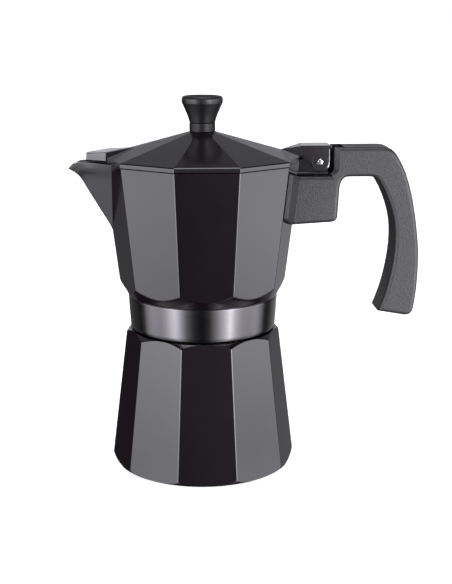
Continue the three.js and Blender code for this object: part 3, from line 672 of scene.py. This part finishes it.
finish_piece(collector, "collector_casting", "collector", "collector_chamber", angle=30.0)

# ------------------------------------------------------------------ lid
DEG = columns()
dz = (164.5 - 176.9) / (51.3 - 6.8)
P, rad, tag = [], [], []
ringp = lambda r, z, rho=0.5: polar(ten(DEG, r, rho), DEG, z)
row(P, rad, tag, base_ := polar(0 * DEG + 2.4, DEG, 176.9), 0.1)
row(P, rad, tag, ringp(6.8, 176.9), 0.4)
for r in (9.0, 13.0, 17.0, 21.0, 25.0, 29.0, 33.0, 37.0, 41.0, 45.0, 49.0):
    row(P, rad, tag, ringp(r, 164.5 + (r - 51.3) * dz))
row(P, rad, tag, ringp(51.32, 164.50), 0.16)
row(P, rad, tag, ringp(51.8, 164.02), 0.16)
row(P, rad, tag, ringp(51.8, 162.1), 0.25)
row(P, rad, tag, ringp(49.2, 162.1), 0.25, 1)
row(P, rad, tag, ringp(49.2, 162.8), 0.2, 1)
row(P, rad, tag, ringp(30.0, 162.8 + 19.2 * 12.0 / 42.4, 1.5), 0.0, 1)
row(P, rad, tag, ringp(6.8, 174.8, 2.0), 0.4, 1)
row(P, rad, tag, polar(0 * DEG + 2.4, DEG, 174.8), 0.1, 1)
rows, src = rounded(np.array(P), rad, 3, closed=True)
lid = skin("lid", rows, [COAT_LID, BARE], True, lambda s, r: tag[s], src)
topz = lambda x: 169.12 + (x + 35.0) * 2.85 / 24.6
kite = [(-35.0, 0.0), (-49.4, 8.8), (-59.6, 3.0), (-59.6, -3.0), (-49.4, -8.8)]
kite_in = [(-40.0, 0.0), (-47.5, 7.0), (-58.0, 1.6), (-58.0, -1.6), (-47.5, -7.0)]
beak = hull("t", [(x, y, 162.75) for x, y in kite] + [(x, y, topz(x)) for x, y in kite], [COAT_LID], 0.32, 3)
combine(lid, beak, "UNION")
beak_in = hull("t", [(x, y, 160.0) for x, y in kite_in] + [(x, y, topz(x) - 1.7) for x, y in kite_in], [BARE], 0.0)
combine(lid, beak_in, "DIFFERENCE")
W = 6.8
wedge = hull("t", [(41.0, 0, 165.6), (51.6, -W, 163.4), (51.6, W, 163.4), (41.0, 0, 167.62), (51.9, -W, 170.0), (51.9, W, 170.0)], [COAT_LID], 0.22, 3)
plate = prism("t", [(50.6, 168.0), (65.2, 168.0), (66.1, 168.4), (66.4, 169.0), (66.1, 169.7), (65.4, 170.0), (50.6, 170.0)], -W, W, [COAT_LID], 0.3, 3)
block = hull("t", [(x, y, z) for x, z in ((48.5, 163.5), (51.6, 163.5), (51.6, 169.6), (48.5, 168.6)) for y in (-3.6, 3.6)], [COAT_LID], 0.0)
cheek = [(51.4, 162.9), (56.0, 160.6), (56.5, 159.2), (57.6, 157.9), (59.0, 157.1), (60.5, 156.9), (62.1, 157.2), (63.6, 158.1), (64.7, 159.6), (65.1, 161.5), (65.1, 168.4), (51.4, 168.4)]
ear_a = prism("t", cheek, -W, -4.9, [COAT_LID], 0.22, 2)
ear_b = prism("t", cheek, 4.9, W, [COAT_LID], 0.22, 2)
combine(lid, [block, wedge, plate, ear_a, ear_b], "UNION")
combine(lid, prism("t", [(46.0, 150), (46.0, 162.0), (51.6, 162.0), (51.6, 166.5), (53, 167.4), (68, 167.4), (68, 150)], -4.9, 4.9, [BARE]), "DIFFERENCE")
combine(lid, rod("t", 1.9, -12, 12, [STEEL], at=(60.5, 0, 161.5), cols=40), "DIFFERENCE")
for lo_, hi_ in ((-7.3, -6.5), (6.5, 7.3)):   # round line in each cheek about the pin
    combine(lid, turned("t", [(3.8, lo_), (4.25, lo_), (4.25, hi_), (3.8, hi_)], [COAT_LID], 0.02, 2, cols=64, closed=True, axis="Y", at=(60.5, 0, 161.5)), "DIFFERENCE")
combine(lid, boxed("t", -61, -55.2, -0.9, 0.9, 164.9, 168.5, [COAT_LID]), "DIFFERENCE")
finish_piece(lid, "lid_casting", "lid_body", "lid", angle=24.0)


# ------------------------------------------------------------------ handle
def dense(points, k=4):
    """Smooth curve through the points, k spans to each."""
    p = np.array(points, float)
    q = np.vstack([2 * p[0] - p[1], p, 2 * p[-1] - p[-2]])
    out = []
    for i in range(1, len(q) - 2):
        for u in np.arange(k) / k:
            a, b, c, d = q[i - 1], q[i], q[i + 1], q[i + 2]
            out.append(0.5 * (2 * b + (c - a) * u + (2 * a - 5 * b + 4 * c - d) * u * u + (3 * b - a - 3 * c + d) * u ** 3))
    out.append(p[-1])
    return [tuple(x) for x in out]


under = [(66.0, 130.3), (68.2, 130.8), (69.4, 132.2), (69.8, 134.5), (70.4, 146.0), (70.8, 149.6), (71.7, 152.0), (73.0, 153.3), (75.0, 153.9),
         (80.5, 153.95), (86.5, 153.9), (88.8, 153.3), (90.5, 152.0), (92.0, 149.8), (93.9, 146.4), (95.9, 142.0), (97.7, 137.1), (99.2, 131.6), (100.1, 125.0), (100.2, 118.0), (99.7, 111.5),
         (98.8, 105.0), (97.5, 98.5), (95.9, 92.3), (94.1, 87.0), (92.4, 82.3)]
back = [(106.8, 79.8), (108.9, 80.0), (110.6, 81.2), (111.5, 83.6), (112.3, 89.0), (112.9, 95.0), (113.2, 102.0),
        (113.3, 109.0), (113.0, 116.0), (112.3, 122.5), (111.4, 129.0), (110.3, 135.6), (109.0, 142.0), (107.4, 148.2), (105.4, 154.4), (103.9, 158.1), (102.2, 161.3), (100.9, 163.6), (99.4, 165.8), (97.4, 167.7), (95.0, 168.8), (92.0, 169.1)]
outline = [(44.0, 129.0)] + dense(under, 3) + dense(back, 3) + [(80.0, 169.1), (65.4, 169.1), (65.4, 154.3), (44.0, 154.3)]
handle = prism("handle", outline, -10.0, 10.0, [HANDLE], 2.2, 6)
flat_at = lambda z: cornerR(z) * C18
flanges = []
for s in (-1, 1):
    a0 = s * math.pi / 5
    nx, ny = math.cos(s * math.pi / 10), math.sin(s * math.pi / 10)

    def at(f, z, off):
        r = cornerR(z)
        xa, ya = r * math.cos(a0), r * math.sin(a0)
        yb = s * 8.5
        xb = (flat_at(z) - abs(ny) * 8.5) / nx
        return (xa + (xb - xa) * f + nx * off, ya + (yb - ya) * f + ny * off, z)

    pts = [at(f, z, off) for off in (-0.8, 2.3) for f, z in ((0.03, 135.5), (1.0, 129.2), (1.0, 154.2), (0.03, 158.3))]
    flanges.append(hull("t", pts, [HANDLE], 0.45, 3))
combine(handle, flanges, "UNION")
wall_rows = np.array([polar(0 * DEG, DEG, 100.0), polar(ten(DEG, cornerR(100) + 0.35), DEG, 100.0), polar(ten(DEG, cornerR(172) + 0.35), DEG, 172.0), polar(0 * DEG, DEG, 172.0)])
combine(handle, skin("t", wall_rows, [HANDLE]), "DIFFERENCE")
combine(handle, prism("t", [(40, 155.2), (65.0, 155.2), (66.6, 156.0), (67.4, 157.6), (67.5, 160), (67.5, 172), (40, 172)], -12, 12, [HANDLE]), "DIFFERENCE")
for s in (-1, 1):
    inner_o = [(40, 155.6), (64.6, 155.6), (66.4, 156.3), (67.3, 158.2), (67.4, 161), (67.4, 172), (40, 172)]
    outer_o = [(40, 154.6), (66.6, 154.6), (69.2, 155.6), (70.7, 158.0), (71.0, 161), (71.0, 172), (40, 172)]
    n = len(inner_o)
    v = [(x * MM, s * 7.9 * MM, z * MM) for x, z in inner_o] + [(x * MM, s * 10.6 * MM, z * MM) for x, z in outer_o]
    f = [tuple(range(n)), tuple(reversed(range(n, 2 * n)))] + [(j, n + j, n + (j + 1) % n, (j + 1) % n) for j in range(n)]
    cut = obj_from("t", v, f, [HANDLE])
    bm = bmesh.new()
    bm.from_mesh(cut.data)
    bmesh.ops.recalc_face_normals(bm, faces=bm.faces)
    bm.to_mesh(cut.data)
    bm.free()
    combine(handle, outward(cut), "DIFFERENCE")
combine(handle, prism("t", [(60, 152.8), (69.0, 152.8), (71.8, 155.6), (73.6, 160.0), (73.9, 164.0), (73.3, 167.4), (72.0, 172), (60, 172)], -7.3, 7.3, [HANDLE]), "DIFFERENCE")
combine(handle, prism("t", [(30, 136.0), (58.9, 139.4), (58.9, 160), (30, 160)], -3.35, 3.35, [HANDLE]), "DIFFERENCE")
combine(handle, rod("t", 2.4, 120, 145, [HANDLE], axis="Z", at=(54, 0, 0), cols=32), "DIFFERENCE")
combine(handle, rod("t", 4.2, 120, 132.6, [HANDLE], axis="Z", at=(54, 0, 0), cols=40), "DIFFERENCE")
finish_piece(handle, "handle_moulding", "collector", "handle", angle=28.0)

# ------------------------------------------------------------------ turned and small pieces
finish_piece(turned("p", [(0, -7.5), (1.15, -7.5), (1.6, -7.1), (1.6, 7.1), (1.15, 7.5), (0, 7.5)], [STEEL], 0.15, cols=48, axis="Y", at=(60.5, 0, 161.5)),
             "hinge_pin_steel", "collector", "hinge_pin", angle=50)
screw = turned("s", [(0, 130.2), (3.2, 130.2), (3.7, 130.7), (3.7, 132.3), (2.0, 132.3), (2.0, 151.0), (1.6, 151.4), (0, 151.4)], [STEEL], 0.12, cols=48, axis="Z", at=(54, 0, 0))
sock = hull("t", [(54 + 1.8 * math.cos(k * math.pi / 3), 1.8 * math.sin(k * math.pi / 3), z) for k in range(6) for z in (129.5, 131.3)], [STEEL])
finish_piece(combine(screw, sock, "DIFFERENCE"), "handle_screw_steel", "collector", "handle_screw")

knob = turned("k", [(0, 181.5), (6.45, 181.5), (6.62, 181.75), (7.35, 184.3), (8.2, 186.4), (9.1, 188.5), (9.95, 190.4), (10.45, 191.4), (10.65, 192.8), (10.5, 194.0), (9.9, 194.75), (9.0, 194.9), (8.3, 194.4), (6.2, 193.8), (3.0, 193.4), (0, 193.3)],
              [KNOB], [0, 0.12, 0.15, 0, 0, 0, 0.3, 0.3, 0.4, 0.4, 0.3, 0.4, 0.4, 0.8, 0.8, 0], cols=128)
combine(knob, rod("t", 2.35, 180, 188.4, [KNOB], axis="Z", cols=32), "DIFFERENCE")
finish_piece(knob, "knob_moulding", "lid_body", "lid_knob", angle=35)
finish_piece(turned("c", [(2.4, 177.0), (6.6, 177.0), (6.65, 177.2), (6.65, 181.2), (6.5, 181.4), (2.4, 181.4)], [COLLAR], 0.08, cols=128, closed=True),
             "knob_collar_ring", "lid_body", "knob_collar", angle=35)
finish_piece(turned("w", [(2.4, 173.6), (5.6, 173.6), (5.6, 174.5), (2.4, 174.5)], [STEEL], 0.15, cols=64, closed=True), "knob_washer_steel", "lid_body", "knob_washer")
ks = turned("s", [(0, 171.2), (3.2, 171.2), (3.8, 171.9), (3.8, 173.3), (2.0, 173.3), (2.0, 187.4), (1.6, 187.8), (0, 187.8)], [STEEL], 0.12, cols=48)
finish_piece(combine(ks, boxed("t", -4.5, 4.5, -0.5, 0.5, 170.8, 172.1, [STEEL]), "DIFFERENCE"), "knob_screw_steel", "lid_body", "knob_screw")

finish_piece(turned("c", [(3.4, 93.6), (6.0, 93.6), (6.0, 100.7), (7.4, 100.7), (7.4, 101.5), (6.6, 102.4), (5.3, 130.0), (5.3, 136.0), (3.4, 136.0)], [TURNED], [0.2, 0.2, 0.2, 0.2, 0.3, 0.6, 0.3, 0.3, 0.3], cols=72, closed=True),
             "column_tube", "collector", "riser_column")
cap = turned("c", [(5.6, 131.0), (7.0, 131.0), (7.0, 140.4), (6.1, 141.9), (0, 142.4), (0, 140.8), (5.6, 140.4)], [STEEL], [0.2, 0.3, 0.6, 1.2, 0, 0, 0.4], cols=72)
cap_rows = None
for cut in (boxed("t", -10, 10, -1.8, 1.8, 136.6, 139.4, [STEEL]), boxed("t", -1.8, 1.8, -10, 10, 136.6, 139.4, [STEEL])):
    combine(cap, cut, "DIFFERENCE")
finish_piece(cap, "column_cap_steel", "collector", "column_cap")


def drilled(name, radius, z0, z1, rows_, hole, mats, body, node):
    o = turned(name, [(0, z0), (radius, z0), (radius, z1), (0, z1)], mats, [0, 0.2, 0.2, 0], cols=96)
    cutters = []
    for r, n, off in rows_:
        for i in range(n):
            a = 2 * math.pi * (i + off) / n
            cutters.append((r * math.cos(a), r * math.sin(a)))
    verts, faces = [], []
    for x, y in cutters:
        k = len(verts)
        m = 12
        for z in (z0 - 1, z1 + 1):
            verts += [((x + hole * math.cos(2 * math.pi * j / m)) * MM, (y + hole * math.sin(2 * math.pi * j / m)) * MM, z * MM) for j in range(m)]
        faces += [(k + j, k + (j + 1) % m, k + m + (j + 1) % m, k + m + j) for j in range(m)]
        faces += [tuple(k + j for j in reversed(range(m))), tuple(k + m + j for j in range(m))]
    c = outward(obj_from("t", verts, faces, mats))
    combine(o, c, "DIFFERENCE")
    return finish_piece(o, name, body, node, weighted=False)


pattern = [(0.001, 1, 0), (4.4, 7, 0), (8.2, 13, 0.5), (12.0, 19, 0), (15.8, 25, 0.5), (19.6, 31, 0), (23.2, 37, 0.5)]
drilled("filter_disc", 33.8, 90.7, 91.6, pattern, 0.62, [TURNED], "filter_carrier", "filter_plate")
drilled("funnel_screen_disc", 28.2, 64.6, 65.4, [(9.4, 15, 0), (13.0, 21, 0.5), (16.6, 26, 0), (20.2, 32, 0.5), (23.8, 38, 0)], 0.6, [BARE], "funnel", "funnel_screen")
finish_piece(turned("g", [(27.4, 87.9), (34.6, 87.9), (34.9, 88.2), (34.9, 90.1), (34.6, 90.4), (27.4, 90.4), (27.0, 90.0), (27.0, 88.3)], [SILICONE], 0.25, cols=128, closed=True),
             "gasket_ring", "gasket_carrier", "gasket", angle=45)
finish_piece(turned("f", [(5.1, 57.0), (6.0, 57.0), (6.0, 60.9), (28.0, 61.6), (29.4, 62.8), (29.7, 86.0), (30.0, 86.5), (33.3, 86.5), (33.3, 87.5), (28.9, 87.5), (28.6, 64.3), (28.0, 64.3), (28.0, 62.6), (5.1, 61.9)],
                    [BARE], [0.2, 0.2, 0.5, 0.9, 0.9, 0.3, 0.3, 0.3, 0.3, 0.6, 0.1, 0.1, 0.4, 0.2], cols=128, closed=True), "funnel_bowl_pressed", "funnel", "funnel_bowl")
finish_piece(turned("f", [(3.8, 8.0), (4.7, 8.0), (4.7, 62.3), (6.3, 62.3), (6.3, 63.1), (3.8, 63.1)], [TURNED], 0.2, cols=64, closed=True), "funnel_stem_tube", "funnel", "funnel_stem")

vat = (0, 0, 48)
vb = turned("v", [(1.8, 36.0), (4.6, 36.0), (4.6, 44.5), (5.9, 44.5), (5.9, 55.2), (4.9, 55.2), (4.9, 53.4), (3.7, 53.4), (3.7, 39.6), (1.8, 39.6)], [BRASS], 0.2, cols=72, closed=True, axis="Y", at=vat)
hexa = turned("t", [(0, 44.5), (6.9, 44.5), (7.9, 45.1), (7.9, 48.7), (6.9, 49.3), (0, 49.3)], [BRASS], 0, cols=6, axis="Y", at=vat)
combine(hexa, rod("t", 5.2, 40, 60, [BRASS], at=vat, cols=72), "DIFFERENCE")
combine(vb, hexa, "UNION")
finish_piece(vb, "valve_body_brass", "boiler", "valve_body", angle=28)
finish_piece(turned("v", [(4.95, 43.5), (7.6, 43.5), (7.6, 44.2), (4.95, 44.2)], [SEAL], 0.2, cols=72, closed=True, axis="Y", at=vat), "valve_washer_seal", "boiler", "valve_washer")
finish_piece(turned("v", [(1.7, 53.7), (4.6, 53.7), (4.6, 55.6), (1.7, 55.6)], [BRASS], 0.25, cols=72, closed=True, axis="Y", at=vat), "valve_end_ring_brass", "boiler", "valve_end_ring")
finish_piece(turned("v", [(0, 40.9), (3.3, 40.9), (3.3, 42.6), (1.9, 42.6), (1.9, 44.2), (1.3, 44.2), (1.3, 57.2), (0.9, 57.7), (0, 57.7)], [BRASS], 0.15, cols=48, axis="Y", at=vat), "valve_plunger_brass", "valve_plunger_body", "valve_plunger")
finish_piece(turned("v", [(0, 39.9), (3.2, 39.9), (3.2, 40.6), (0, 40.6)], [SEAL], 0.15, cols=48, axis="Y", at=vat), "valve_seal_disc", "valve_plunger_body", "valve_seal")
# Spring: round wire wound about the plunger.
turns_, R_, w_, y0_, y1_ = 5, 2.75, 0.32, 44.7, 53.0
N, M = 200, 10
verts, faces = [], []
for i in range(N + 1):
    u = i / N
    a = 2 * math.pi * turns_ * u
    c = np.array([R_ * math.cos(a), y0_ + (y1_ - y0_) * u, 48 + R_ * math.sin(a)])
    radial = np.array([math.cos(a), 0, math.sin(a)])
    for j in range(M):
        b = 2 * math.pi * j / M
        verts.append((c + w_ * (math.cos(b) * radial + math.sin(b) * np.array([0, 1.0, 0]))) * MM)
for i in range(N):
    for j in range(M):
        j2 = (j + 1) % M
        faces.append((i * M + j, i * M + j2, (i + 1) * M + j2, (i + 1) * M + j))
faces += [tuple(range(M)), tuple(N * M + j for j in reversed(range(M)))]
sp = outward(obj_from("spring", verts, faces, [STEEL]))
finish_piece(sp, "valve_spring_wire", "boiler", "valve_spring", angle=50, weighted=False)

# ------------------------------------------------------------------ floor, world and lights
fm, ft, fb, ftc = nodes_of("pale_floor")
for nd in list(ft.nodes):
    if nd.type not in ("OUTPUT_MATERIAL",):
        ft.nodes.remove(nd)
out = [n for n in ft.nodes if n.type == "OUTPUT_MATERIAL"][0]
em = ft.nodes.new("ShaderNodeEmission")
em.inputs["Color"].default_value = (1.0, 1.0, 1.0, 1.0)
em.inputs["Strength"].default_value = 0.80
df = ft.nodes.new("ShaderNodeBsdfDiffuse")
df.inputs["Color"].default_value = (0.55, 0.55, 0.55, 1.0)
ad = ft.nodes.new("ShaderNodeAddShader")
ft.links.new(em.outputs[0], ad.inputs[0])
ft.links.new(df.outputs[0], ad.inputs[1])
ft.links.new(ad.outputs[0], out.inputs["Surface"])
bm = bmesh.new()
bmesh.ops.create_circle(bm, cap_ends=True, cap_tris=False, segments=96, radius=14.0)
fme = bpy.data.meshes.new("floor")
bm.to_mesh(fme)
bm.free()
fme.materials.append(fm)
floor = bpy.data.objects.new("floor", fme)
scene.collection.objects.link(floor)
floor.location = (0, 0, -0.0002)
floor.visible_glossy = False
floor.visible_diffuse = False
floor.visible_shadow = False
floor.visible_transmission = False

world = bpy.data.worlds.new("studio")
scene.world = world
world.use_nodes = True
wt = world.node_tree
for nd in list(wt.nodes):
    wt.nodes.remove(nd)
wout = wt.nodes.new("ShaderNodeOutputWorld")
bg = wt.nodes.new("ShaderNodeBackground")
bgc = wt.nodes.new("ShaderNodeBackground")
bgc.inputs["Color"].default_value = (1.0, 1.0, 1.0, 1.0)
bgc.inputs["Strength"].default_value = 1.0
lp = wt.nodes.new("ShaderNodeLightPath")
mx = wt.nodes.new("ShaderNodeMixShader")
wt.links.new(lp.outputs["Is Camera Ray"], mx.inputs[0])
wt.links.new(bg.outputs[0], mx.inputs[1])
wt.links.new(bgc.outputs[0], mx.inputs[2])
wt.links.new(mx.outputs[0], wout.inputs["Surface"])
wtc = wt.nodes.new("ShaderNodeTexCoord")
sep = wt.nodes.new("ShaderNodeSeparateXYZ")
wt.links.new(wtc.outputs["Generated"], sep.inputs[0])


def wmath(op, a, b=None):
    return add(wt, a, 0.0 if b is None else b, op)


az = wmath("ARCTAN2", sep.outputs["Y"], sep.outputs["X"])
zn = sep.outputs["Z"]


def panel(az_deg, half_deg, soft_deg, z_lo, z_hi, z_soft, value):
    """Soft-edged bright patch of the studio, by direction: azimuth and sine of elevation."""
    d = wmath("SUBTRACT", az, math.radians(az_deg))
    d = wmath("ABSOLUTE", wmath("ARCTAN2", wmath("SINE", d), wmath("COSINE", d)))
    a = remap(wt, d, 1.0, 0.0, math.radians(half_deg), math.radians(half_deg + soft_deg))
    lo = remap(wt, zn, 0.0, 1.0, z_lo - z_soft, z_lo)
    hi = remap(wt, zn, 1.0, 0.0, z_hi, z_hi + z_soft)
    return wmath("MULTIPLY", wmath("MULTIPLY", wmath("MULTIPLY", a, lo), hi), value)


# Level light all round, by azimuth in degrees: two softboxes beside the camera, dark between them and behind the pot.
level = [(-180, 3.6), (-170, 3.5), (-162, 3.2), (-152, 4.9), (-138, 10.5), (-128, 5.0), (-118, 1.5), (-108, 0.25), (-94, 0.02), (-82, 0.3), (-70, 3.0), (-58, 8.0),
         (-49, 15.0), (-40, 7.0), (-30, 3.9), (-16, 3.3), (0, 3.7), (9, 2.0), (18, 0.1), (45, 0.05), (58, 0.08), (74, 0.10), (92, 0.08), (112, 0.03),
         (130, 0.01), (150, 0.02), (163, 0.3), (171, 2.4), (180, 3.6)]
cr = wt.nodes.new("ShaderNodeValToRGB")
el = cr.color_ramp.elements
while len(el) < len(level):
    el.new(0.5)
for k, (a_, v_) in enumerate(level):
    el[k].position = (a_ + 180.0) / 360.0
    el[k].color = (v_ / 16.0, v_ / 16.0, v_ / 16.0, 1.0)
wt.links.new(remap(wt, az, 0.0, 1.0, -math.pi, math.pi), cr.inputs["Fac"])
band = wmath("MULTIPLY", cr.outputs["Color"], 16.0)
fall = wt.nodes.new("ShaderNodeValToRGB")
steps = [(-1.0, 0.0), (-0.50, 0.50), (-0.44, 0.68), (-0.34, 0.98), (-0.27, 0.97), (-0.19, 0.72), (-0.14, 0.95), (-0.085, 1.18), (0.3, 1.1)]
while len(fall.color_ramp.elements) < len(steps):
    fall.color_ramp.elements.new(0.5)
for k, (z_, v_) in enumerate(steps):
    fall.color_ramp.elements[k].position = (z_ + 1.0) / 2.0
    fall.color_ramp.elements[k].color = (v_ / 1.2, v_ / 1.2, v_ / 1.2, 1.0)
wt.links.new(remap(wt, zn, 0.0, 1.0, -1.0, 1.0), fall.inputs["Fac"])
band = wmath("MULTIPLY", band, wmath("MULTIPLY", fall.outputs["Color"], 1.2))
total = wmath("MULTIPLY", band, remap(wt, zn, 1.0, 0.0, 0.22, 0.42))
for spec in [
    (84, 34, 14, 0.00, 0.15, 0.04, 0.85),       # white backdrop above the table behind the pot
    (58, 16, 12, -0.75, -0.10, 0.06, 0.135),    # table, back right
    (0, 180, 1, 0.24, 0.60, 0.10, 0.26),        # upper wall
    (0, 180, 1, 0.95, 1.1, 0.06, 4.4),          # softbox straight overhead
]:
    total = wmath("ADD", total, panel(*spec))
total = wmath("ADD", total, 0.02)
comb = wt.nodes.new("ShaderNodeCombineColor")
for k, tint in enumerate((0.985, 0.985, 1.05)):
    wt.links.new(wmath("MULTIPLY", total, tint), comb.inputs[k])
wt.links.new(comb.outputs[0], bg.inputs["Color"])
bg.inputs["Strength"].default_value = 1.0


def area(name, loc, target, size, power):
    d = bpy.data.lights.new(name, "AREA")
    d.shape = "SQUARE"
    d.size = size
    d.energy = power
    o = bpy.data.objects.new(name, d)
    scene.collection.objects.link(o)
    o.location = loc
    o.rotation_euler = (Vector(target) - Vector(loc)).to_track_quat("-Z", "Y").to_euler()
    return o


key = area("overhead_fill", (-0.15, -0.75, 1.5), (0, 0, 0.1), 1.2, 5.0)
key.visible_glossy = False
key.visible_camera = False
low = area("handle_fill", (0.24, -0.40, 0.0), (0.10, 0, 0.10), 0.22, 0.34)
low.visible_camera = False
only = bpy.data.collections.new("lit_by_handle_fill")
scene.collection.children.link(only)
only.objects.link(bpy.data.objects["handle_moulding"])
low.light_linking.receiver_collection = only
# two dim reflectors level with the table that only the collector picks up, as its flanks lean outwards
flank = bpy.data.collections.new("lit_by_flank_reflectors")
scene.collection.children.link(flank)
flank.objects.link(bpy.data.objects["collector_casting"])
for nm, az_, glow in (("flank_reflector_left", 130.0, 0.093), ("flank_reflector_right", 58.0, 0.16)):
    a_ = math.radians(az_)
    o = area(nm, (2.0 * math.cos(a_), 2.0 * math.sin(a_), -0.38), (0, 0, 0.13), 1.3, math.pi * 1.69 * glow)
    o.visible_camera = False
    o.light_linking.receiver_collection = flank
